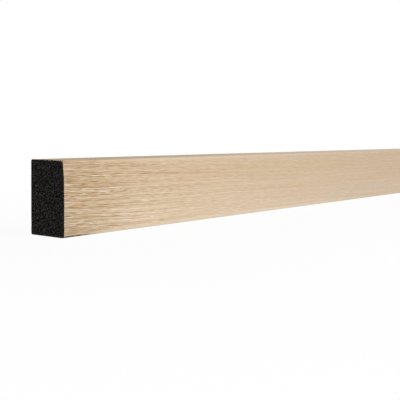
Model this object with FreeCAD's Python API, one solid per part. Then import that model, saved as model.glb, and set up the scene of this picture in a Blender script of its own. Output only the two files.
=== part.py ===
"""Panel moulding: a straight, rectangular length of wall trim.

An extruded core of black foamed plastic is wrapped in one thin sheet of wood-effect film.
The film covers the show face and both narrow sides, rounds the long edges and turns over on
to the back, where it lies flush with a bare strip of foam that takes the glue. Both ends are
sawn square, so the black core shows there.

The moulding stands on one narrow side. Millimetres, +Z up, +X along the length, the show
face towards -Y and the wall face towards +Y. The origin is at the middle of the underside.
"""

import os

import FreeCAD, Part
from FreeCAD import Vector

# Driving dimensions
LENGTH = 2700.0  # stock length, end to end
FACE_WIDTH = 40.0  # width of the show face, upright as the moulding stands
DEPTH = 25.0  # from the show face to the wall face
FILM_THICKNESS = 0.2
SHOW_EDGE_RADIUS = 1.8  # the two long edges of the show face, over the film
WALL_EDGE_RADIUS = 0.8  # the two long edges at the wall, over the film
BACK_LAP = 8.0  # how far the film turns on to the back, from the narrow side's outer face

# Places that follow from the driving dimensions
NEAR_END = -LENGTH / 2
SHOW_FACE = -DEPTH / 2
WALL_FACE = DEPTH / 2


def rounded_corner(corner, towards_start, towards_end, radius):
    """The arc that rounds a corner, given the directions along the two sides that meet there."""
    start = corner + towards_start * radius
    end = corner + towards_end * radius
    centre = start + towards_end * radius
    outward = (corner - centre).normalize()
    return start, Part.Arc(start, centre + outward * radius, end).toShape(), end


def rounded_bar(inset):
    """A bar as long as the moulding, with its outline set in from the outer faces by inset."""
    show = SHOW_FACE + inset
    wall = WALL_FACE - inset
    low = inset
    high = FACE_WIDTH - inset
    show_radius = max(SHOW_EDGE_RADIUS - inset, 0.0)
    wall_radius = max(WALL_EDGE_RADIUS - inset, 0.0)
    out, back = Vector(0, -1, 0), Vector(0, 1, 0)
    down, up = Vector(0, 0, -1), Vector(0, 0, 1)
    # Corners in order round the section: where each is, the ways to the last and next corner
    corners = [
        (Vector(NEAR_END, show, low), up, back, show_radius),
        (Vector(NEAR_END, wall, low), out, up, wall_radius),
        (Vector(NEAR_END, wall, high), down, out, wall_radius),
        (Vector(NEAR_END, show, high), back, down, show_radius),
    ]
    rounded = []
    for corner, towards_last, towards_next, radius in corners:
        if radius > 0.0:
            rounded.append(rounded_corner(corner, towards_last, towards_next, radius))
        else:
            rounded.append((corner, None, corner))
    edges = []
    for index, (_, arc, end) in enumerate(rounded):
        if arc is not None:
            edges.append(arc)
        next_start = rounded[(index + 1) % len(rounded)][0]
        edges.append(Part.LineSegment(end, next_start).toShape())
    section = Part.Face(Part.Wire(edges))
    return section.extrude(Vector(LENGTH, 0, 0))


def make_foam_core():
    """The foam bar inside the film, with its bare back strip standing level with the film's laps."""
    bar = rounded_bar(FILM_THICKNESS)
    strip_width = FACE_WIDTH - 2 * BACK_LAP
    strip_corner = Vector(NEAR_END, WALL_FACE - FILM_THICKNESS, BACK_LAP)
    strip = Part.makeBox(LENGTH, FILM_THICKNESS, strip_width, strip_corner)
    return bar.fuse(strip).removeSplitter()


def make_wood_film(foam_core):
    """The film: the outer bar less the foam that it is wrapped round."""
    return rounded_bar(0.0).cut(foam_core).removeSplitter()


def export(name, shape):
    """Writes one sub-part and prints what it measures."""
    solids = shape.Solids
    assert len(solids) == 1, f"{name} came out as {len(solids)} solids"
    solid = solids[0]
    assert solid.isValid(), f"{name} is not a valid solid"
    solid.exportStep(os.path.join("parts", name + ".step"))
    box = solid.BoundBox
    size = f"{box.XLength:.2f} x {box.YLength:.2f} x {box.ZLength:.2f} mm"
    print(f"{name}: {size}, {solid.Volume / 1000:.2f} cm3, {len(solid.Faces)} faces")


def main():
    os.makedirs("parts", exist_ok=True)
    foam_core = make_foam_core()
    wood_film = make_wood_film(foam_core)
    export("foam_core", foam_core)
    export("wood_film", wood_film)


main()
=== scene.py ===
# %% [markdown]
# # Dressing a panel moulding
#
# The object is a length of wall trim: a bar of black foamed plastic, wrapped in a thin film that is
# printed to look like light oak. Its solids come from a CAD model, at their real size, and this
# lesson gives them their looks. Everything is in metres: +X runs along the moulding, -Y is the show
# face's side, and +Z is up.

import math

import bpy
from mathutils import Matrix, Vector


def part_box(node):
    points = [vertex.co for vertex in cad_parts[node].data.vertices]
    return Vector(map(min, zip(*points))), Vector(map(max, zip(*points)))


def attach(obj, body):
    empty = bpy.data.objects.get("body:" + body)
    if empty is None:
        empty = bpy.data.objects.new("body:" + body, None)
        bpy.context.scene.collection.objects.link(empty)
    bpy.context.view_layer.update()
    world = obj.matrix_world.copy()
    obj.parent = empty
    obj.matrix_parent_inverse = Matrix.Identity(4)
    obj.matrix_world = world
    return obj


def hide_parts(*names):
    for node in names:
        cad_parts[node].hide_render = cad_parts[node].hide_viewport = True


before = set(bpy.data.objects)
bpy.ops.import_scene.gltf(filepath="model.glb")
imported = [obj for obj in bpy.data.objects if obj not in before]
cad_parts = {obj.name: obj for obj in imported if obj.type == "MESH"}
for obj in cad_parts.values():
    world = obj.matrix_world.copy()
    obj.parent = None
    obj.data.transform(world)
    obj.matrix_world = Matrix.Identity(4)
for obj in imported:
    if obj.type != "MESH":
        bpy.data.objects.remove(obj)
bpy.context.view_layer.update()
print("CAD nodes:", sorted(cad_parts))

# %% [markdown]
# ## Sizes
#
# The boxes of the two solids give most of the sizes. The film goes all the way round, so its box is
# the whole moulding. The foam is smaller by one thickness of film on its show side, because its bare
# back strip lies level with the film. The three sizes that no box shows are repeated here.

# %% Read the sizes from the boxes
MM = 0.001

film_low, film_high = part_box("wood_film")
foam_low, foam_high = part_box("foam_core")
LENGTH, DEPTH, FACE_WIDTH = film_high - film_low
FILM_THICKNESS = foam_low.y - film_low.y
SHOW_EDGE_RADIUS = 1.8 * MM
WALL_EDGE_RADIUS = 0.8 * MM
BACK_LAP = 8.0 * MM
print(f"moulding {LENGTH:.3f} x {DEPTH:.4f} x {FACE_WIDTH:.4f} m, film {FILM_THICKNESS / MM:.2f} mm")

# %% [markdown]
# ## Camera
#
# The camera stands in front of the near end, a little above the top edge, and looks along the
# moulding and slightly down. Its place is measured from the lower front corner of the near end, so
# it follows the object. The three angles turn it: first round the upright axis, then down, then a
# touch of roll. A camera looks along its own -Z, so the columns of its matrix are the directions of
# its right, its top and its back.

# %% Place the camera
CAMERA_FROM_CORNER = Vector((-0.29823, -0.30810, 0.05854))
CAMERA_TURN = 0.6389  # from the moulding's length towards the wall, in radians
CAMERA_DIP = 0.0883
CAMERA_ROLL = 0.0158
CAMERA_LENS = 74.62  # in millimetres, on Blender's usual 36 mm sensor

near_corner = film_low
ahead = Vector((
    math.cos(CAMERA_TURN) * math.cos(CAMERA_DIP),
    math.sin(CAMERA_TURN) * math.cos(CAMERA_DIP),
    -math.sin(CAMERA_DIP),
))
level_right = Vector((math.sin(CAMERA_TURN), -math.cos(CAMERA_TURN), 0.0))
level_top = level_right.cross(ahead)
right = math.cos(CAMERA_ROLL) * level_right + math.sin(CAMERA_ROLL) * level_top
top = math.cos(CAMERA_ROLL) * level_top - math.sin(CAMERA_ROLL) * level_right

camera_data = bpy.data.cameras.new("camera")
camera_data.lens = CAMERA_LENS
camera_data.clip_start = 0.01
camera = bpy.data.objects.new("camera", camera_data)
turned = Matrix((right, top, -ahead)).transposed().to_4x4()
camera.matrix_world = Matrix.Translation(near_corner + CAMERA_FROM_CORNER) @ turned
bpy.context.scene.collection.objects.link(camera)
bpy.context.scene.camera = camera
print("camera at", [round(x, 4) for x in camera.location])

# %% [markdown]
# ## Writing nodes as sums
#
# Node trees are slow to read when every link is a line of code. Two small classes help. A Board is
# a node tree that is being filled, and its main method, node, adds any node: its settings are set
# first, then its sockets get numbers or links. A Wire is the output of a node, and arithmetic on
# wires adds Math nodes, so a formula in Python is a formula in the tree. The same classes serve
# materials, the world and Geometry Nodes.

# %% Wires and boards
class Wire:
    """The output of a node. Sums and products of wires add Math nodes to the same board."""

    def __init__(self, board, socket):
        self.board = board
        self.socket = socket

    def maths(self, operation, first, second=0.0):
        return self.board.node("ShaderNodeMath", {"operation": operation}, {0: first, 1: second})

    def __add__(self, other):
        return self.maths("ADD", self, other)

    def __radd__(self, other):
        return self.maths("ADD", other, self)

    def __sub__(self, other):
        return self.maths("SUBTRACT", self, other)

    def __rsub__(self, other):
        return self.maths("SUBTRACT", other, self)

    def __mul__(self, other):
        return self.maths("MULTIPLY", self, other)

    def __rmul__(self, other):
        return self.maths("MULTIPLY", other, self)

    def __truediv__(self, other):
        return self.maths("DIVIDE", self, other)

    def __rtruediv__(self, other):
        return self.maths("DIVIDE", other, self)

    def __lt__(self, other):
        return self.maths("LESS_THAN", self, other)

    def __gt__(self, other):
        return self.maths("GREATER_THAN", self, other)

    def __abs__(self):
        return self.maths("ABSOLUTE", self)

    def at_most(self, other):
        return self.maths("MINIMUM", self, other)

    def at_least(self, other):
        return self.maths("MAXIMUM", self, other)

    def plain(self, operation):
        """A Math node with one number in, such as SINE or FLOOR."""
        return self.maths(operation, self)

    def to_and_fro(self, reach):
        """Climbs from 0 to reach, falls back to 0, and climbs again."""
        return self.maths("PINGPONG", self, reach)

    def wrapped(self, length):
        """Starts again from 0 each time it reaches length."""
        return self.maths("MODULO", self, length)

    def rise(self, low, high):
        """0 below low, 1 above high, and a smooth climb between them."""
        return self.board.node(
            "ShaderNodeMapRange",
            {"interpolation_type": "SMOOTHSTEP"},
            {"Value": self, "From Min": low, "From Max": high},
        )


class Board:
    """A node tree that is being filled."""

    def __init__(self, tree):
        self.tree = tree
        self.identifiers = {}

    def node(self, kind, settings, inputs, output=0):
        made = self.tree.nodes.new(kind)
        for name, value in settings.items():
            setattr(made, name, value)
        for name, value in inputs.items():
            if isinstance(value, Wire):
                self.tree.links.new(value.socket, made.inputs[name])
            else:
                made.inputs[name].default_value = value
        return Wire(self, made.outputs[output]) if made.outputs else None

    def parts(self, vector):
        """The x, y and z of a vector, as three wires."""
        split = self.node("ShaderNodeSeparateXYZ", {}, {"Vector": vector}).socket.node
        return [Wire(self, socket) for socket in split.outputs]

    def vector(self, x, y, z):
        return self.node("ShaderNodeCombineXYZ", {}, {"X": x, "Y": y, "Z": z})

    def mixed(self, share, first, second):
        """A colour between two others."""
        return self.node("ShaderNodeMix", {"data_type": "RGBA"}, {0: share, 6: first, 7: second}, 2)

    def noise(self, place, detail=2.0, roughness=0.5):
        """Soft noise with blobs about one unit wide, from 0 to 1 with most of it near 0.5."""
        sockets = {"Vector": place, "Scale": 1.0, "Detail": detail, "Roughness": roughness}
        return self.node("ShaderNodeTexNoise", {"noise_dimensions": "3D"}, sockets)


def blank_board(tree):
    """A material's or world's tree, emptied."""
    tree.nodes.clear()
    return Board(tree)


print("wires and boards ready")

# %% [markdown]
# ## A white studio
#
# A product shot on white needs a background that is white without flooding the object with light.
# The Light Path node tells what kind of ray is asking. Rays that end in the picture, straight from
# the camera or by a reflection, see white. The rays that gather light for the object see a dimmer
# sky, so the colours come out about as they are written. The floor does the same, but near the
# moulding it keeps a share of honest shading, so that the object has a shadow to stand on. It also
# glows a little round the moulding, as a light table does: that lifts the lower half of the face and
# the rounded edge below it, which would be a dark line otherwise.

# %% Sky and floor
SKY_LIGHT = 0.22
WHITE = (1.0, 1.0, 1.0, 1.0)
FLOOR_COLOUR = (0.86, 0.86, 0.86, 1.0)
FLOOR_HALF_SIZE = 60.0
FLOOR_DROP = 0.05 * MM  # below the moulding's underside, so the two never flicker
SHADED_SHARE = 0.05  # of the floor's look right beside the moulding
SHADED_REACH = 0.35
TABLE_GLOW = 0.84  # as a share of white
GLOW_REACH = 0.36


def seen_directly(board):
    """1 for rays from the camera, or on their way to it by a mirror or through glass."""
    paths = board.node("ShaderNodeLightPath", {}, {}).socket.node
    kinds = ("Is Camera Ray", "Is Glossy Ray", "Is Transmission Ray")
    camera_ray, glossy_ray, clear_ray = [Wire(board, paths.outputs[kind]) for kind in kinds]
    return (camera_ray + glossy_ray + clear_ray).at_most(1.0)


def make_sky():
    world = bpy.data.worlds.new("studio_sky")
    world.use_nodes = True
    board = blank_board(world.node_tree)
    strength = SKY_LIGHT + (1.0 - SKY_LIGHT) * seen_directly(board)
    sky = board.node("ShaderNodeBackground", {}, {"Color": WHITE, "Strength": strength})
    board.node("ShaderNodeOutputWorld", {}, {"Surface": sky})
    bpy.context.scene.world = world


def make_floor():
    material = bpy.data.materials.new("studio_floor")
    material.use_nodes = True
    board = blank_board(material.node_tree)
    x, y, _ = board.parts(board.node("ShaderNodeTexCoord", {}, {}, "Object"))
    past_end = (abs(x) - LENGTH / 2).at_least(0.0)
    distance = (past_end * past_end + y * y).plain("SQRT")
    shaded = SHADED_SHARE * (1.0 - distance.rise(DEPTH, SHADED_REACH))
    lit = board.node("ShaderNodeBsdfDiffuse", {}, {"Color": FLOOR_COLOUR})
    white = board.node("ShaderNodeEmission", {}, {"Color": WHITE, "Strength": 1.0})
    glow = TABLE_GLOW * (1.0 - distance.rise(DEPTH, GLOW_REACH))
    seen = seen_directly(board)
    share = seen * (1.0 - shaded) + (1.0 - seen) * glow
    surface = board.node("ShaderNodeMixShader", {}, {0: share, 1: lit, 2: white})
    board.node("ShaderNodeOutputMaterial", {}, {"Surface": surface})
    size = FLOOR_HALF_SIZE
    ground = film_low.z - FLOOR_DROP
    corners = [(-size, -size, ground), (size, -size, ground), (size, size, ground), (-size, size, ground)]
    mesh = bpy.data.meshes.new("floor")
    mesh.from_pydata(corners, [], [(0, 1, 2, 3)])
    mesh.materials.append(material)
    floor = bpy.data.objects.new("floor", mesh)
    bpy.context.scene.collection.objects.link(floor)
    return floor


make_sky()
floor = make_floor()
bpy.context.scene.view_settings.view_transform = "Standard"
print("floor laid at", round(floor.data.vertices[0].co.z, 5))

# %% [markdown]
# ## Lamps
#
# The show face is brighter than the top, and the rounded edge between them is the brightest line of
# all. So the main light comes from the front and above, halfway between the two, and it is wide, to
# keep the shadow soft. A sun lamp lights the whole length evenly. A strength of pi on a white matt
# face that looks straight at the sun makes it white, so strengths are written as shares of pi.

# %% Hang the main lamp
KEY_SHARE = 0.62
KEY_HEIGHT = math.radians(43)
KEY_SIDE = math.radians(22)  # towards the far end, so that the sawn near end stays dark
KEY_WIDTH = math.radians(50)


def sun_lamp(name, share, height, side, width):
    lamp = bpy.data.lights.new(name, "SUN")
    lamp.energy = share * math.pi
    lamp.angle = width
    sun = bpy.data.objects.new(name, lamp)
    towards_lamp = Vector((
        math.sin(side) * math.cos(height),
        -math.cos(side) * math.cos(height),
        math.sin(height),
    ))
    sun.rotation_mode = "QUATERNION"
    sun.rotation_quaternion = towards_lamp.to_track_quat("Z", "Y")
    bpy.context.scene.collection.objects.link(sun)
    return sun


key = sun_lamp("key", KEY_SHARE, KEY_HEIGHT, KEY_SIDE, KEY_WIDTH)
print("key lamp", round(key.data.energy, 2))

# %% [markdown]
# ## The sheet before it is folded
#
# On the real moulding the film starts as a flat printed sheet, and rollers fold it round the bar. To
# know what lies where on the sheet, walk round the section: from the middle of the show face along
# the flat, round the front edge, along the narrow side, round the back edge and on to the back. The
# print uses these lengths as plain numbers, and the mesh uses them again as wires.

# %% Walk round the section
QUARTER_TURN = math.pi / 2
FULL_TURN = math.pi * 2


class Section:
    """The lengths of the walk from the middle of the show face to the sheet's edge on the back."""

    def __init__(self, depth, width, front, back, lap):
        self.front = front
        self.back = back
        self.flat_face = width / 2.0 - front
        self.front_bend = front * QUARTER_TURN
        self.flat_side = depth - front - back
        self.back_bend = back * QUARTER_TURN
        self.flat_back = lap - back
        to_side = self.flat_face + self.front_bend
        to_back = to_side + self.flat_side + self.back_bend
        self.half_sheet = to_back + self.flat_back

    def place(self, walk):
        """How far a point is from the middle, up or down, and how far behind the show face."""
        past_face = walk - self.flat_face
        front_angle = (past_face / self.front).at_least(0.0).at_most(QUARTER_TURN)
        past_front = past_face - self.front_bend
        on_side = past_front.at_least(0.0).at_most(self.flat_side)
        past_side = past_front - self.flat_side
        back_angle = (past_side / self.back).at_least(0.0).at_most(QUARTER_TURN)
        on_back = (past_side - self.back_bend).at_least(0.0)
        from_middle = walk.at_most(self.flat_face) + self.front * front_angle.plain("SINE")
        from_middle = from_middle - self.back * (1.0 - back_angle.plain("COSINE")) - on_back
        from_show = self.front * (1.0 - front_angle.plain("COSINE")) + on_side
        return from_middle, from_show + self.back * back_angle.plain("SINE")


sheet = Section(DEPTH, FACE_WIDTH, SHOW_EDGE_RADIUS, WALL_EDGE_RADIUS, BACK_LAP)
print("the flat sheet is", round(2 * sheet.half_sheet / MM, 1), "mm wide")

# %% [markdown]
# ## The oak print
#
# The film is not wood, but a photograph of wood: straight-grained light oak, printed and lightly
# embossed. The print is laid out flat on the sheet, so its coordinates are a UV map in metres, along
# the sheet and across it, which the folded film will carry. A small class turns them into the
# distances that the print depends on. Everything in oak is drawn out along the grain, so every layer
# is noise that is stretched along it. The grain falls a little along the moulding, and it wanders by
# a degree or two. From here to the end of the print, all lengths are in millimetres.

# %% Find the place on the sheet
GRAIN_MAP = "grain"
GRAIN_SLOPE = math.tan(math.radians(1.3))
WANDER = 4.5
WANDER_LONG = 80.0
WANDER_WIDE = 25.0
WANDER_SEED = 2513.2
FRONT_BEND_START = sheet.flat_face / MM  # these are distances from the middle of the show face
FRONT_BEND = sheet.front_bend / MM
SIDE_START = FRONT_BEND_START + FRONT_BEND
BACK_BEND_START = SIDE_START + sheet.flat_side / MM
BACK_BEND = sheet.back_bend / MM


class SheetPlace:
    """Where on the flat sheet a point of the film lies, as wires."""

    def __init__(self, board):
        flat = board.node("ShaderNodeUVMap", {"uv_map": GRAIN_MAP}, {})
        along_sheet, from_edge, _ = board.parts(flat)
        self.board = board
        self.along = along_sheet / MM
        self.up = (from_edge - sheet.half_sheet) / MM
        self.walk = abs(self.up)
        self.upper = self.up > 0.0
        self.lower = 1.0 - self.upper
        self.from_cut = self.along.at_most(LENGTH / MM - self.along)
        spot = board.vector(self.along / WANDER_LONG, self.up / WANDER_WIDE, WANDER_SEED)
        wander = board.noise(spot, detail=1.0) - 0.5
        self.across = self.up + GRAIN_SLOPE * self.along + WANDER * wander

    def streaks(self, long, wide, seed, detail):
        """Noise in streaks about long by wide, along the grain."""
        spot = self.board.vector(self.along / long, self.across / wide, seed)
        return self.board.noise(spot, detail)


print("grain falls", round(math.degrees(math.atan(GRAIN_SLOPE)), 1), "degrees along the edge")

# %% [markdown]
# A print repeats, because a roller makes it: here every 0.9 m. Its figure is strongest at a repeat,
# soon fades to plain wood and slowly comes back, and the moulding is cut at repeats. The ground
# changes with it, from straw to wheat: a print tone, whose darkening far from a repeat is also
# painted shade, for the light falling off along the moulding. The two ends are painted darker, to
# honey, as painted shade where less light and sheen reach them, the upper half less than the lower.
# Golden bands, half as wide as a finger, and growth rings, a millimetre or two apart, run through it all.

# %% Colour the ground
STRAW = (0.758, 0.607, 0.440, 1.0)
# print tone; its darkening far from a repeat is also painted shade, for light falling off along the
# moulding
WHEAT = (0.608, 0.482, 0.360, 1.0)
# painted shade: the ends are darkened to this honey, for less light and sheen there
SHADED_HONEY = (0.500, 0.341, 0.192, 1.0)
GOLD = (0.620, 0.400, 0.185, 1.0)
FIGURE_REPEAT = 900.0
FIGURE_REACH = 75.0  # past each repeat, to where the figure is half as strong
FIGURE_FLOOR = 0.2  # its strength far from a repeat
WHEAT_FADE = (10.0, 430.0)  # from a repeat
END_SHADE_FADE = (-18.75, 75.0)  # from the cut; it starts outside the moulding, so no place is all honey
END_SHADE_SHARE = 0.95
UPPER_RISE = (-5.0, FRONT_BEND_START)  # up the face
UPPER_SPARED = 0.3  # how much less the upper half is darkened
BAND_LONG = 600.0
BAND_WIDE = 9.0
BAND_SEED = 147.6
BAND_SHARE = 0.34
RING = (110.0, 1.5, 6717.4, 2.0)  # long, wide, place in the noise and detail, as for all streaks
RING_SHARE = 0.10
SOFT = (0.3, 0.7)  # nearly the whole range of the noise, so the edges are soft


def figure_strength(place):
    """1 at a repeat of the print, and less between repeats."""
    past_repeat = place.along.wrapped(FIGURE_REPEAT)
    reaches = past_repeat / FIGURE_REACH
    fading = 1.0 / (1.0 + reaches * reaches)
    growing = past_repeat.rise(FIGURE_REPEAT / 2, FIGURE_REPEAT)
    return FIGURE_FLOOR + (1.0 - FIGURE_FLOOR) * fading.at_least(growing)


def painted_end_shade(place):
    """1 where painted shade darkens an end most, and 0 away from the ends."""
    by_height = 1.0 - UPPER_SPARED * place.up.rise(*UPPER_RISE)
    return by_height * (1.0 - place.from_cut.rise(*END_SHADE_FADE))


def ground_colour(board, place, end_shaded):
    from_repeat = place.along.to_and_fro(FIGURE_REPEAT / 2)
    band = board.noise(board.vector(place.along / BAND_LONG, place.up / BAND_WIDE, BAND_SEED))
    ring = place.streaks(*RING)
    colour = board.mixed(from_repeat.rise(*WHEAT_FADE), STRAW, WHEAT)
    colour = board.mixed(END_SHADE_SHARE * end_shaded, colour, SHADED_HONEY)
    return board.mixed(BAND_SHARE * band.rise(*SOFT) + RING_SHARE * ring.rise(*SOFT), colour, GOLD)


print("the figure repeats", round(LENGTH / MM / FIGURE_REPEAT, 2), "times along the moulding")

# %% [markdown]
# Finest of all are the open pores of oak, thin and brown, and the pale flecks between them. Each is
# a blend of two noises, one in short dashes and one in long threads, so the dashes line up along the
# threads. On the ends painted darker as shade, the pores are painted browner too. The pores press
# the emboss into the film as well, so their wires are needed again for the bump.

# %% Draw the pores and flecks
PORE = (0.410, 0.202, 0.040, 1.0)
# painted shade: the pores on the darkened ends are browner still
END_SHADE_PORE = (0.240, 0.124, 0.040, 1.0)
FLECK = (0.880, 0.800, 0.680, 1.0)
DASH = (8.5, 0.34, 1004.0, 1.0)
THREAD = (140.0, 0.38, 2725.1, 1.0)
PALE_DASH = (8.5, 0.36, 3859.0, 1.0)
PALE_THREAD = (100.0, 0.40, 487.8, 1.0)
DASHED = 0.46  # the dashes' part in the blend, and the threads have the rest
PALE_DASHED = 0.48
PORE_EDGE = (0.515, 0.59)  # the noise has pores above this, and its middle is 0.5
FLECK_EDGE = (0.52, 0.61)
PORE_SHARE = 0.93
FLECK_SHARE = 0.88


def blended(place, dashed, dash, thread):
    return dashed * place.streaks(*dash) + (1.0 - dashed) * place.streaks(*thread)


def pores_and_flecks(place, figure):
    pore = blended(place, DASHED, DASH, THREAD).rise(*PORE_EDGE)
    fleck = blended(place, PALE_DASHED, PALE_DASH, PALE_THREAD).rise(*FLECK_EDGE)
    return pore * figure, fleck * figure


print("pores are about", DASH[1], "mm wide and", DASH[0], "mm long")

# %% [markdown]
# The narrow sides get painted light and shade, for how the light falls on the top along the moulding:
# they are painted darker beside the ends and a little paler far from them, and a painted highlight in
# gold lies on the upper front corner of each end.

# %% Paint shade and light on the sides
# painted shade: the narrow sides are darkened beside the ends
SIDE_SHADE = (0.230, 0.110, 0.020, 1.0)
# painted highlight: gold on the upper front corner of each end
GOLD_HIGHLIGHT = (0.790, 0.545, 0.275, 1.0)
SIDE_SHADE_FADE = (90.0, 240.0)  # from the cut
SIDE_RISE = (SIDE_START - 0.6, SIDE_START + 0.2)  # this and the next are from the middle of the face
GOLD_HIGHLIGHT_FADE = (SIDE_START + 2.0, SIDE_START + 14.0)
SIDE_SHADE_SHARE = 0.35
END_SIDE_SHADE_SHARE = 0.22
GOLD_HIGHLIGHT_SHARE = 0.75
# painted light: the narrow sides are paler far from the ends
SIDE_LIGHT_SHARE = 0.3


def paint_side_light(board, place, end_shaded, corner_highlight, away, colour):
    on_side = place.walk.rise(*SIDE_RISE)
    highlit = corner_highlight * (1.0 - place.walk.rise(*GOLD_HIGHLIGHT_FADE))
    darkened = SIDE_SHADE_SHARE * (1.0 - place.from_cut.rise(*SIDE_SHADE_FADE)) + END_SIDE_SHADE_SHARE * end_shaded
    colour = board.mixed(on_side * darkened * (1.0 - highlit), colour, SIDE_SHADE)
    colour = board.mixed(GOLD_HIGHLIGHT_SHARE * on_side * highlit, colour, GOLD_HIGHLIGHT)
    return board.mixed(SIDE_LIGHT_SHARE * on_side * away, colour, FLECK)


print("side of the sheet from", round(SIDE_START, 1), "to", round(BACK_BEND_START, 1), "mm")

# %% [markdown]
# Pale lines are painted along the bends. Along the front bends they are painted highlights, where the
# rounded edges catch the light, and the lower front line lies partly on the face. At a corner with the
# gold painted highlight the line moves off the face and is gold. The back bends get a fainter pale line
# in the same colour.

# %% Paint highlights along the bends
# painted highlight along the rounded edges
BEND_HIGHLIGHT = (0.860, 0.710, 0.530, 1.0)
GOLDEN_FADE = (20.0, 80.0)  # this and the next two are distances from the cut
LOWER_LINE_RISE = (0.0, 40.0)
BACK_LINE_RISE = (20.0, 100.0)
UPPER_LINE_SHARE = 0.4
LOWER_LINE_SHARE = 0.55
BACK_LINE_SHARE = 0.3
LINE_LOSS = 0.6  # how much of the front lines is lost far from the ends
LINE_EXTRA = 0.4  # how much wider a front line is than its bend
LINE_SHIFT = 0.9
LINE_EDGE = 0.3  # how far a line fades past its ends


def on_bend(walk, start, length):
    """1 round a bend, and fading out to 0 on both sides of it."""
    before = walk.rise(start - LINE_EDGE, start + 0.5 * length)
    return before * (1.0 - walk.rise(start + 0.7 * length, start + length + LINE_EDGE))


def paint_bend_highlights(board, place, corner_highlight, away, colour):
    shifted = place.walk + LINE_SHIFT * place.lower - LINE_SHIFT * corner_highlight
    front_bend = on_bend(shifted, FRONT_BEND_START, FRONT_BEND + LINE_EXTRA)
    back_bend = on_bend(place.walk, BACK_BEND_START, BACK_BEND)
    below = place.lower * place.from_cut.rise(*LOWER_LINE_RISE)
    at_front = (UPPER_LINE_SHARE * place.upper + LOWER_LINE_SHARE * below) * (1.0 - LINE_LOSS * away)
    at_back = BACK_LINE_SHARE * back_bend * place.from_cut.rise(*BACK_LINE_RISE)
    unhighlit = place.lower.at_least(place.from_cut.rise(*GOLDEN_FADE))
    line_colour = board.mixed(unhighlit, GOLD_HIGHLIGHT, BEND_HIGHLIGHT)
    return board.mixed(front_bend * at_front + at_back, colour, line_colour)


print("front bends are", round(FRONT_BEND, 1), "mm wide on the sheet, back bends", round(BACK_BEND, 1))

# %% [markdown]
# Where the saw cut it, the film has a pale edge on the show face. Painted shade lies along the lower
# edge beside the cut, as a black smudge where the moulding meets the floor, and on the cut itself below
# and behind. The smudge is made rougher as well as darker.

# %% Add the saw's pale edge and the painted shade below
# painted shade: black under the lower edge beside the cut, and on the cut's rim below and behind
UNDER_SHADE = (0.060, 0.045, 0.030, 1.0)
SMEAR = (3.0, 2.0, 8.2, 2.0)
SMEAR_EDGE = (0.2, 0.5)
CUT_FADE = (0.1, 0.6)  # this and the next are from the cut
SMUDGE_FADE = (10.0, 25.0)
UNDER_RISE = (FRONT_BEND_START + 0.1, FRONT_BEND_START + 1.5)  # from the middle, as are the next two
SMUDGE_DEPTH_FADE = (22.0, 27.0)
BEHIND_RISE = (BACK_BEND_START - 1.0, BACK_BEND_START)
PALE_CUT_SHARE = 0.12
UNDER_SHADE_SHARE = 0.95


def under_shade_amount(place, cut_edge):
    """1 where the film is painted black as shade."""
    underneath = place.lower * place.walk.rise(*UNDER_RISE)
    near_cut = 1.0 - place.from_cut.rise(*SMUDGE_FADE)
    near_face = 1.0 - place.walk.rise(*SMUDGE_DEPTH_FADE)
    smudge = underneath * place.streaks(*SMEAR).rise(*SMEAR_EDGE) * near_cut * near_face
    behind = place.walk.rise(*BEHIND_RISE)
    return smudge.at_least(cut_edge * underneath.at_least(behind))


print("dust reaches", SMUDGE_FADE[1], "mm from the cut")

# %% [markdown]
# Now the layers are put together: ground, flecks and pores, the painted light and shade on the sides,
# the painted highlights along the bends, the cut and the painted shade by it. The bump is only as deep
# as an emboss.

# %% Mix the oak print
# the painted highlight on the upper corner beside each cut fades over this span
CORNER_HIGHLIGHT_FADE = (5.0, 30.0)  # this and the next are from the cut
AWAY_RISE = (200.0, 400.0)
EMBOSS_DEPTH = 0.04 * MM  # in metres, for the bump
EMBOSS_STRENGTH = 0.35
FLECK_RELIEF = 0.4  # as a share of the pores' depth
FILM_SHINE = 0.30
FILM_ROUGHNESS = 0.55
PORE_ROUGHER = 0.14
FLECK_SMOOTHER = 0.05
UNDER_SHADE_ROUGHER = 0.4


def make_oak_print():
    material = bpy.data.materials.new("oak_print")
    material.use_nodes = True
    board = blank_board(material.node_tree)
    place = SheetPlace(board)
    end_shaded = painted_end_shade(place)
    corner_highlight = place.upper * (1.0 - place.from_cut.rise(*CORNER_HIGHLIGHT_FADE))
    away = place.from_cut.rise(*AWAY_RISE)
    cut_edge = 1.0 - place.from_cut.rise(*CUT_FADE)
    pore, fleck = pores_and_flecks(place, figure_strength(place))
    painted_shade = under_shade_amount(place, cut_edge)

    colour = ground_colour(board, place, end_shaded)
    colour = board.mixed(FLECK_SHARE * fleck, colour, FLECK)
    colour = board.mixed(PORE_SHARE * pore, colour, board.mixed(end_shaded, PORE, END_SHADE_PORE))
    colour = paint_side_light(board, place, end_shaded, corner_highlight, away, colour)
    colour = paint_bend_highlights(board, place, corner_highlight, away, colour)
    colour = board.mixed(PALE_CUT_SHARE * cut_edge, colour, FLECK)
    colour = board.mixed(UNDER_SHADE_SHARE * painted_shade, colour, UNDER_SHADE)

    height = FLECK_RELIEF * fleck - pore
    relief = {"Strength": EMBOSS_STRENGTH, "Distance": EMBOSS_DEPTH, "Height": height}
    roughness = FILM_ROUGHNESS + PORE_ROUGHER * pore - FLECK_SMOOTHER * fleck + UNDER_SHADE_ROUGHER * painted_shade
    sockets = {
        "Base Color": colour,
        "Roughness": roughness,
        "Specular IOR Level": FILM_SHINE,
        "Normal": board.node("ShaderNodeBump", {}, relief),
    }
    shader = board.node("ShaderNodeBsdfPrincipled", {}, sockets)
    board.node("ShaderNodeOutputMaterial", {}, {"Surface": shader})
    return material


oak_print = make_oak_print()
print("oak print:", len(oak_print.node_tree.nodes), "nodes")

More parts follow.
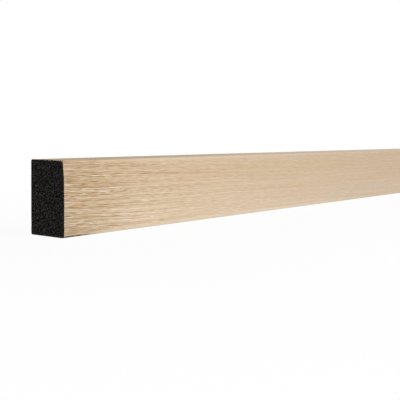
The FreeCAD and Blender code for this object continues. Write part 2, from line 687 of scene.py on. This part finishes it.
# %% [markdown]
# ## The black foam
#
# Foamed plastic is full of tiny bubbles. Where the saw opened them, each is painted as a cup that is
# darker in the middle, as painted shade, with a paler rim, and fine pale specks are painted glints
# from the cell walls, so the end looks like charcoal. Along the bare back strip the foam has the
# smoother skin that it gets in the extruder, with faint lines along the length. The pattern is in
# Object coordinates, because it goes right through the piece.

# %% Mix the foam
FOAM_DARK = (0.0005, 0.0005, 0.0004, 1.0)
FOAM_PALE = (0.0680, 0.0640, 0.0580, 1.0)
SKIN_DEPTH = 0.15 * MM
BUBBLES_PER_MM = 1.1
GRIT_SIZE = 0.95 * MM
# painted glints: pale specks for light caught by the cell walls
GLINT_SIZE = 0.7 * MM
GLINT_SHIFT = 31.0  # to another part of the noise than the grit's
SKIN_LINE_LONG = 300.0 * MM
SKIN_LINE_DEEP = 2.0 * MM
SKIN_LINE_HIGH = 0.5 * MM
# painted shade: each bubble's cup is darker in the middle than at its rim
SAWN_CUP_SHADE = (0.15, 0.25, 0.8)  # a layer's share, and where in its noise it starts and is complete
SAWN_GRIT = (0.75, 0.46, 0.7)
SAWN_GLINTS = (0.7, 0.55, 0.68)
SKIN_BASE = 0.12
SKIN_LINES = (0.25, 0.35, 0.7)
SKIN_GRIT = (0.12, 0.4, 0.7)
FOAM_BUMP = 0.15 * MM
FOAM_BUMP_STRENGTH = 0.5
FOAM_SHINE = 0.025
FOAM_ROUGHNESS = 0.75
GRIT_ROUGHER = 0.2
SKIN_SMOOTHER = 0.2


def layer(noise, share, low, high):
    return share * noise.rise(low, high)


def make_cut_foam():
    material = bpy.data.materials.new("cut_foam")
    material.use_nodes = True
    board = blank_board(material.node_tree)
    x, y, z = board.parts(board.node("ShaderNodeTexCoord", {}, {}, "Object"))
    in_mm = board.vector(x / MM, y / MM, z / MM)
    bubbles = {"Vector": in_mm, "Scale": BUBBLES_PER_MM}
    cells = board.node("ShaderNodeTexVoronoi", {"feature": "F1"}, bubbles)
    grit = board.noise(board.vector(x / GRIT_SIZE, y / GRIT_SIZE, z / GRIT_SIZE))
    glint_place = board.vector(x / GLINT_SIZE, y / GLINT_SIZE, z / GLINT_SIZE + GLINT_SHIFT)
    glints = board.noise(glint_place, detail=1.0)
    sawn = layer(cells, *SAWN_CUP_SHADE) + layer(grit, *SAWN_GRIT) + layer(glints, *SAWN_GLINTS)
    line_place = board.vector(x / SKIN_LINE_LONG, y / SKIN_LINE_DEEP, z / SKIN_LINE_HIGH)
    lines = board.noise(line_place, detail=3.0)
    skin = SKIN_BASE + layer(lines, *SKIN_LINES) + layer(grit, *SKIN_GRIT)
    on_back = y > foam_high.y - SKIN_DEPTH
    pale = on_back * skin + (1.0 - on_back) * sawn
    colour = board.mixed(pale.at_most(1.0), FOAM_DARK, FOAM_PALE)
    height = (grit + 0.5 * cells) * (1.0 - 0.8 * on_back) + 0.3 * on_back * lines
    relief = {"Strength": FOAM_BUMP_STRENGTH, "Distance": FOAM_BUMP, "Height": height}
    sockets = {
        "Base Color": colour,
        "Roughness": FOAM_ROUGHNESS + GRIT_ROUGHER * grit - SKIN_SMOOTHER * on_back,
        "Specular IOR Level": FOAM_SHINE,
        "Normal": board.node("ShaderNodeBump", {}, relief),
    }
    shader = board.node("ShaderNodeBsdfPrincipled", {}, sockets)
    board.node("ShaderNodeOutputMaterial", {}, {"Surface": shader})
    return material


cut_foam = make_cut_foam()
print("cut foam:", len(cut_foam.node_tree.nodes), "nodes")

# %% [markdown]
# ## Growing a mesh from a tree
#
# Both pieces follow a rule, so Geometry Nodes make them. Each tree has named inputs for its sizes.
# A modifier knows an input by its identifier, not its name, and the inputs are set before the object
# is first evaluated. The evaluated object then becomes a plain mesh, and the modifier goes.

# %% Helpers for Geometry Nodes
def size_input(board, name):
    """Adds a named size to the tree and returns its wire."""
    interface = board.tree.interface
    socket = interface.new_socket(name=name, in_out="INPUT", socket_type="NodeSocketFloat")
    board.identifiers[name] = socket.identifier
    entry = board.tree.nodes.new("NodeGroupInput")
    return Wire(board, entry.outputs[name])


def close_tree(board, geometry, material):
    """Ends a tree: instances become real, and the result gets its material."""
    real = board.node("GeometryNodeRealizeInstances", {}, {"Geometry": geometry})
    painted = board.node("GeometryNodeSetMaterial", {}, {"Geometry": real, "Material": material})
    board.tree.interface.new_socket(name="Piece", in_out="OUTPUT", socket_type="NodeSocketGeometry")
    exit_node = board.tree.nodes.new("NodeGroupOutput")
    board.tree.links.new(painted.socket, exit_node.inputs[0])


def keep_as_mesh(piece):
    """Turns a piece's evaluated shape into its plain mesh, and removes its modifiers."""
    graph = bpy.context.evaluated_depsgraph_get()
    shape = piece.evaluated_get(graph)
    mesh = bpy.data.meshes.new_from_object(shape, preserve_all_data_layers=True, depsgraph=graph)
    piece.modifiers.clear()
    piece.data = mesh
    mesh.name = piece.name


def grow(name, board, sizes):
    """Makes a piece from a tree and its sizes."""
    piece = bpy.data.objects.new(name, bpy.data.meshes.new(name))
    modifier = piece.modifiers.new("grow", "NODES")
    modifier.node_group = board.tree
    for label, value in sizes.items():
        modifier[board.identifiers[label]] = value
    bpy.context.scene.collection.objects.link(piece)
    keep_as_mesh(piece)
    return piece


def store_map(board, geometry, name, u, v):
    """Writes a UV map, one place for each corner of each face."""
    settings = {"data_type": "FLOAT2", "domain": "CORNER"}
    sockets = {"Geometry": geometry, "Name": name, "Value": board.vector(u, v, 0.0)}
    return board.node("GeometryNodeStoreNamedAttribute", settings, sockets)


def of_face(board, value):
    """A value taken at the middle of each face, the same for all its corners."""
    settings = {"data_type": "FLOAT", "domain": "FACE"}
    return board.node("GeometryNodeFieldOnDomain", settings, {"Value": value})


print("helpers for trees ready")

# %% [markdown]
# ## A knocked corner
#
# New stock is straight, but a sawn end seldom stays perfect. Here the upper front corner of the near
# end has had a light blow: the edge leans in by up to a millimetre over its last centimetre. Film
# and foam take the blow together, so both trees use the same formula.

# %% Push the corner in
KNOCK_REACH = 9.0 * MM  # along the moulding
KNOCK_DEPTH = 7.0 * MM  # from the show face
LEAN_IN = 0.28 * MM
PUSH_IN = 0.75 * MM
PUSH_DOWN = 0.10 * MM
LEAN_RISE = (0.35 * FACE_WIDTH, 0.85 * FACE_WIDTH)  # this and the next two are up the face
PUSH_RISE = (0.75 * FACE_WIDTH, 1.01 * FACE_WIDTH)
DROP_RISE = (0.91 * FACE_WIDTH, FACE_WIDTH)


def knock(from_end, from_show, height):
    """How far a point near the corner has gone in from the show face, and down."""
    nearness = (1.0 - from_end.rise(0.0, KNOCK_REACH)) * (1.0 - from_show.rise(0.0, KNOCK_DEPTH))
    lean = LEAN_IN * height.rise(*LEAN_RISE)
    push = PUSH_IN * height.rise(*PUSH_RISE)
    drop = PUSH_DOWN * height.rise(*DROP_RISE)
    return nearness * (lean + push), nearness * drop


print("corner knocked by up to", round((LEAN_IN + PUSH_IN) / MM, 2), "mm")

# %% [markdown]
# ## The wrapped film
#
# Now the sheet is made the same way as the real one. A flat grid is the sheet, and each of its points
# walks round the section. Bends and flats come out exact, and the sheet's own coordinates become the
# grain map. Sweeping a curve would work too, but then the print would have to be unrolled again.
#
# The saw leaves the film's ends a little frayed, most of all on the upper side, where the teeth came
# out. So the sheet's ends are pulled back by noise, and its rows crowd together near the ends, where
# there is something to shape. Exporting bakes the print into a square picture, and a sheet 26 times
# as long as it is wide would waste most of it, so a second map cuts the sheet into three rows and
# stacks them.

# %% Fold the sheet
BAKE_MAP = "OFBake"
FILM_STEPS_ACROSS = 320
FILM_STEPS_ALONG = 48
FILM_CUTS = (20 / FILM_STEPS_ALONG, 28 / FILM_STEPS_ALONG)  # between the map's rows
FILM_BAKE_ROWS = 3.0
ROW_MARGIN = 0.02
ROW_LENGTH = 0.94  # as a share of the picture's width
ROW_HALF_WIDTH = 0.48  # as a share of the row's height
CROWDING = 0.998
FRAY_DEPTH = 0.40 * MM
FRAY_REACH = 4.0 * MM
TEAR_WIDTH = 1.3 * MM
TEAR_EDGE = (0.35, 0.75)
LOWER_FRAY = 0.3  # as a share of the upper side's


def towards_ends(share):
    """From 0 to 1 again, but in short steps at both ends and long ones in the middle."""
    return share - CROWDING / FULL_TURN * (share * FULL_TURN).plain("SINE")


def fold_sheet_tree():
    board = Board(bpy.data.node_groups.new("fold_sheet", "GeometryNodeTree"))
    length = size_input(board, "Length")
    depth = size_input(board, "Depth")
    width = size_input(board, "Face Width")
    front = size_input(board, "Show Edge Radius")
    back = size_input(board, "Wall Edge Radius")
    lap = size_input(board, "Back Lap")
    fray = size_input(board, "Fray")
    section = Section(depth, width, front, back, lap)

    counts = {"Vertices X": FILM_STEPS_ALONG + 1, "Vertices Y": FILM_STEPS_ACROSS + 1}
    grid = board.node("GeometryNodeMeshGrid", {}, {"Size X": 1.0, "Size Y": 1.0, **counts})
    grid_x, grid_y, _ = board.parts(board.node("GeometryNodeInputPosition", {}, {}))
    share = grid_x + 0.5
    along = towards_ends(share)
    across = 2.0 * grid_y
    from_edge = (across + 1.0) * section.half_sheet

    flat_sheet = store_map(board, grid, GRAIN_MAP, along * length, from_edge)
    face_share = of_face(board, share)
    row = (face_share > FILM_CUTS[0]) + (face_share > FILM_CUTS[1])
    row_u = ROW_MARGIN + ROW_LENGTH * (FILM_BAKE_ROWS * along - row)
    row_v = (row + ROW_MARGIN + ROW_HALF_WIDTH * (across + 1.0)) / FILM_BAKE_ROWS
    flat_sheet = store_map(board, flat_sheet, BAKE_MAP, row_u, row_v)

    from_middle, from_show = section.place(abs(across) * section.half_sheet)
    height = width / 2.0 + across.plain("SIGN") * from_middle
    from_near = along * length
    from_far = length - from_near
    pushed_in, pushed_down = knock(from_near, from_show, height)

    upper_side = (height > width - 0.5 * front) * (from_show > front)
    tear_place = board.vector(from_edge / TEAR_WIDTH, 40.0 * share, 6.3)
    tears = board.noise(tear_place, detail=4.0, roughness=0.7)
    torn = fray * (LOWER_FRAY + (1.0 - LOWER_FRAY) * upper_side) * tears.rise(*TEAR_EDGE)
    pull = torn * (from_far.rise(0.0, FRAY_REACH) - from_near.rise(0.0, FRAY_REACH))
    x = from_near - length / 2.0 + pull
    y = from_show - depth / 2.0 + pushed_in
    z = height - pushed_down
    sockets = {"Geometry": flat_sheet, "Position": board.vector(x, y, z)}
    folded = board.node("GeometryNodeSetPosition", {}, sockets)
    smooth = board.node("GeometryNodeSetShadeSmooth", {}, {"Geometry": folded})
    close_tree(board, smooth, oak_print)
    return board


film = grow("wood_film_wrap", fold_sheet_tree(), {
    "Length": LENGTH,
    "Depth": DEPTH,
    "Face Width": FACE_WIDTH,
    "Show Edge Radius": SHOW_EDGE_RADIUS,
    "Wall Edge Radius": WALL_EDGE_RADIUS,
    "Back Lap": BACK_LAP,
    "Fray": FRAY_DEPTH,
})
print("film sheet:", len(film.data.polygons), "faces")

# %% [markdown]
# The sheet still has no thickness. Solidify gives it one, inwards, so that the outside stays where
# the CAD has it, and closes the cut edges.

# %% Give the film its thickness
wall = film.modifiers.new("thickness", "SOLIDIFY")
wall.thickness = FILM_THICKNESS
wall.offset = -1.0
wall.use_even_offset = True
keep_as_mesh(film)
print("film with its thickness:", len(film.data.polygons), "faces")

# %% [markdown]
# ## The foam core
#
# The core is a bar that shows only at its two sawn ends and along its bare back strip. A cube with
# many cuts across its ends and few along its length has faces where they are needed. One formula
# rounds its long edges, by drawing each corner's square into a quarter disc, and another lifts the
# back strip level with the film. At the ends every point sinks by a depth that depends on the bubble
# it lies in: each Voronoi cell is one bubble, cut open by the saw. The foam is denser under the film,
# so the bubbles stop short of the rim, but the upper rim crumbles, because the teeth came out there.

# %% Round the bar and open its bubbles
CRUMBLE_REACH = 0.8 * MM
CRUMBLE_SIZE = 1.1 * MM
CRUMBLE_EDGE = (0.35, 0.7)
CUP_FADE = (0.05, 0.62)  # from the middle of a bubble, in bubbles
SHALLOWEST_CUP = 0.25  # as a share of the deepest
END_SHIFT = 17.0  # between the parts of the noise that the two ends use
DENSE_RIM = 0.7 * MM
HAIR = 1e-9  # keeps a division by a length from being one by zero


def rounded_place(cube_y, cube_z, half_deep, half_high, radius):
    """Where a point of the unit cube goes across the section, as distances from the middle."""
    flat_y = abs(cube_y) * 2.0 * half_deep
    flat_z = abs(cube_z) * 2.0 * half_high
    corner_y = (flat_y - half_deep + radius).at_least(0.0)
    corner_z = (flat_z - half_high + radius).at_least(0.0)
    corner_reach = (corner_y * corner_y + corner_z * corner_z).plain("SQRT").at_least(HAIR)
    draw_in = corner_y.at_least(corner_z) / corner_reach
    return flat_y - corner_y + corner_y * draw_in, flat_z - corner_z + corner_z * draw_in


def sawn_depth(board, y, z, end, from_rim, from_top, cell, pit, crumble):
    """How far the saw and the open bubbles take the end's surface below its plane."""
    shift = END_SHIFT * end
    bubbles = {"Vector": board.vector(y / cell, z / cell, shift), "Scale": 1.0}
    from_bubble = board.node("ShaderNodeTexVoronoi", {"feature": "F1"}, bubbles)
    chance = Wire(board, from_bubble.socket.node.outputs["Color"])
    chance_x, _, _ = board.parts(chance)
    cup = 1.0 - from_bubble.rise(*CUP_FADE)
    cup = cup * (SHALLOWEST_CUP + (1.0 - SHALLOWEST_CUP) * chance_x)
    upper_rim = 1.0 - from_top.rise(0.0, CRUMBLE_REACH)
    crumbs = board.noise(board.vector(y / CRUMBLE_SIZE, z / CRUMBLE_SIZE, 5.0 + shift), detail=3.0)
    return pit * cup * from_rim.rise(0.0, DENSE_RIM) + crumble * upper_rim * crumbs.rise(*CRUMBLE_EDGE)


print("core formulas ready")

# %% [markdown]
# The core needs a bake map too. Its two ends lie side by side and fill most of the picture, because
# the bubbles show there. The hidden sides are squeezed into a thin line below them, and the back
# strip is cut into five rows at the bottom. The crumbs, which come next, get a line above the ends.

# %% Lay out the core's map
END_MARGIN = 0.01
END_WIDE = 0.48
END_LOW = 0.28
END_HIGH = 0.71
SIDES_LOW = 0.26
SIDES_HIGH = 0.01
CORE_BAKE_ROWS = 5
BACK_ROW_HIGH = 0.05
BACK_ROW_MARGIN = 0.04
BACK_ROW_SHARE = 0.92
AT_FACE = 0.4999  # on the unit cube, whose faces lie at half a unit


def store_core_map(board, cube, cube_x, cube_y, cube_z):
    face_x = of_face(board, cube_x)
    on_end = abs(face_x) > AT_FACE
    on_back = of_face(board, cube_y) > AT_FACE
    on_side = (1.0 - on_end) * (1.0 - on_back)
    row = ((face_x + 0.5) * CORE_BAKE_ROWS).plain("FLOOR")
    end_u = END_MARGIN + END_WIDE * (cube_y + 0.5) + 0.5 * (face_x > 0.0)
    end_v = END_LOW + END_HIGH * (cube_z + 0.5)
    back_u = (cube_x + 0.5) * CORE_BAKE_ROWS - row
    back_v = BACK_ROW_HIGH * (row + BACK_ROW_MARGIN + BACK_ROW_SHARE * (cube_z + 0.5))
    side_u = cube_x + 0.5
    side_v = SIDES_LOW + SIDES_HIGH * (cube_y + cube_z + 1.0) / 2.0
    map_u = on_end * end_u + on_back * back_u + on_side * side_u
    map_v = on_end * end_v + on_back * back_v + on_side * side_v
    return store_map(board, cube, BAKE_MAP, map_u, map_v)


print("the ends take", round(200 * END_WIDE * END_HIGH), "% of the core's map")

# %% [markdown]
# The teeth also leave crumbs of foam hanging on the upper rim, where they came out. They are small
# lumps scattered along a line, each one squashed by its own random scale and roughened by noise.

# %% Scatter crumbs on the rim
CRUMBS = 30
CRUMB_GRIT = 0.25 * MM
CRUMB_MAP_LOW = 0.9935
CRUMB_MAP_HIGH = 0.004


def crumb_row(board, x, inward, depth, width, seed):
    """Lumps of foam along the upper rim of one end; inward is the direction into the moulding."""
    start = board.vector(x, -0.46 * depth, width)
    stop = board.vector(x, 0.47 * depth, width)
    places = {"Count": CRUMBS, "Start Location": start, "Offset": stop}
    line = board.node("GeometryNodeMeshLine", {"mode": "END_POINTS"}, places)
    near_side = (0.10 * MM * inward, -0.5 * MM, -0.22 * MM)
    far_side = (0.35 * MM * inward, 0.5 * MM, -0.05 * MM)
    random = {"data_type": "FLOAT_VECTOR"}
    shift = board.node("FunctionNodeRandomValue", random, {0: near_side, 1: far_side, "Seed": seed})
    points = board.node("GeometryNodeSetPosition", {}, {"Geometry": line, "Offset": shift})
    place_x, place_y, place_z = board.parts(board.node("GeometryNodeInputPosition", {}, {}))
    small = (0.10 * MM, 0.15 * MM, 0.10 * MM)
    large = (0.32 * MM, 0.65 * MM, 0.34 * MM)
    scale = board.node("FunctionNodeRandomValue", random, {0: small, 1: large, "Seed": seed + 1})
    growth = 1.2 - 0.3 * place_y.rise(-0.3 * DEPTH, 0.3 * DEPTH)
    scale = board.node("ShaderNodeVectorMath", {"operation": "SCALE"}, {0: scale, "Scale": growth})
    ball = board.node("GeometryNodeMeshIcoSphere", {}, {"Radius": 1.0, "Subdivisions": 3})
    sockets = {"Points": points, "Instance": ball, "Scale": scale}
    balls = board.node("GeometryNodeInstanceOnPoints", {}, sockets)
    real = board.node("GeometryNodeRealizeInstances", {}, {"Geometry": balls})
    grit = board.vector(place_x / CRUMB_GRIT, place_y / CRUMB_GRIT, place_z / CRUMB_GRIT)
    dent = CRUMB_GRIT * (board.noise(grit) - 0.5)
    outward = board.node("GeometryNodeInputNormal", {}, {})
    push = board.node("ShaderNodeVectorMath", {"operation": "SCALE"}, {0: outward, "Scale": dent})
    lumps = board.node("GeometryNodeSetPosition", {}, {"Geometry": real, "Offset": push})
    end_u = END_MARGIN + END_WIDE * (place_y / depth + 0.5) + 0.25 * (1.0 - inward)
    return store_map(board, lumps, BAKE_MAP, end_u, CRUMB_MAP_LOW + place_z / width * CRUMB_MAP_HIGH)


print("crumbs at each end:", CRUMBS)

# %% Grow the core
CELL_SIZE = 0.95 * MM
PIT_DEPTH = 0.40 * MM
CRUMBLE_DEPTH = 0.15 * MM
CORE_STEPS_DEEP = 150
CORE_STEPS_HIGH = 240
SHARP_FROM = math.radians(50)


def core_tree():
    board = Board(bpy.data.node_groups.new("sawn_core", "GeometryNodeTree"))
    length = size_input(board, "Length")
    depth = size_input(board, "Depth")
    width = size_input(board, "Face Width")
    film_wall = size_input(board, "Film Thickness")
    front = size_input(board, "Show Edge Radius")
    back = size_input(board, "Wall Edge Radius")
    lap = size_input(board, "Back Lap")
    cell = size_input(board, "Cell Size")
    pit = size_input(board, "Pit Depth")
    crumble = size_input(board, "Crumble Depth")

    counts = {
        "Vertices X": CORE_BAKE_ROWS + 1,
        "Vertices Y": CORE_STEPS_DEEP + 1,
        "Vertices Z": CORE_STEPS_HIGH + 1,
    }
    cube = board.node("GeometryNodeMeshCube", {}, counts)
    cube_x, cube_y, cube_z = board.parts(board.node("GeometryNodeInputPosition", {}, {}))
    core = store_core_map(board, cube, cube_x, cube_y, cube_z)

    half_deep = depth / 2.0 - film_wall
    half_high = width / 2.0 - film_wall
    radius = back - film_wall + (cube_y < 0.0) * (front - back)
    round_y, round_z = rounded_place(cube_y, cube_z, half_deep, half_high, radius)
    strip = (cube_y > AT_FACE) * (abs(cube_z) * 2.0 * half_high < width / 2.0 - lap)
    y = cube_y.plain("SIGN") * round_y + strip * film_wall
    z = cube_z.plain("SIGN") * round_z + width / 2.0

    from_rim = (half_deep - round_y).at_most(half_high - round_z)
    from_top = width - film_wall - z
    sunk = sawn_depth(board, y, z, cube_x, from_rim, from_top, cell, pit, crumble)
    near = cube_x < -AT_FACE
    far = cube_x > AT_FACE
    pushed_in, pushed_down = knock((cube_x + 0.5) * length, y + depth / 2.0, z)
    place = board.vector(cube_x * length + (near - far) * sunk, y + pushed_in, z - pushed_down)
    shaped = board.node("GeometryNodeSetPosition", {}, {"Geometry": core, "Position": place})
    smooth = board.node("GeometryNodeSetShadeSmooth", {}, {"Geometry": shaped})
    together = board.node("GeometryNodeJoinGeometry", {}, {"Geometry": smooth})
    for x, inward, seed in ((-0.5 * length, 1.0, 21), (0.5 * length, -1.0, 35)):
        row_of_crumbs = crumb_row(board, x, inward, depth, width, seed)
        board.tree.links.new(row_of_crumbs.socket, together.socket.node.inputs["Geometry"])
    close_tree(board, together, cut_foam)
    return board


core = grow("foam_core_sawn", core_tree(), {
    "Length": LENGTH,
    "Depth": DEPTH,
    "Face Width": FACE_WIDTH,
    "Film Thickness": FILM_THICKNESS,
    "Show Edge Radius": SHOW_EDGE_RADIUS,
    "Wall Edge Radius": WALL_EDGE_RADIUS,
    "Back Lap": BACK_LAP,
    "Cell Size": CELL_SIZE,
    "Pit Depth": PIT_DEPTH,
    "Crumble Depth": CRUMBLE_DEPTH,
})
core.data.set_sharp_from_angle(angle=SHARP_FROM)
print("foam core:", len(core.data.polygons), "faces")

# %% [markdown]
# ## Handing the pieces over
#
# Nothing on a moulding moves, so both pieces ride on the one body, root. Each stands for the CAD
# node that it was made from, and that node is hidden.

# %% Ride and replace
for piece, node, slot in ((film, "wood_film", "oak_film"), (core, "foam_core", "black_foam")):
    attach(piece, "root")
    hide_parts(node)
    print(piece.name, "stands for", node)
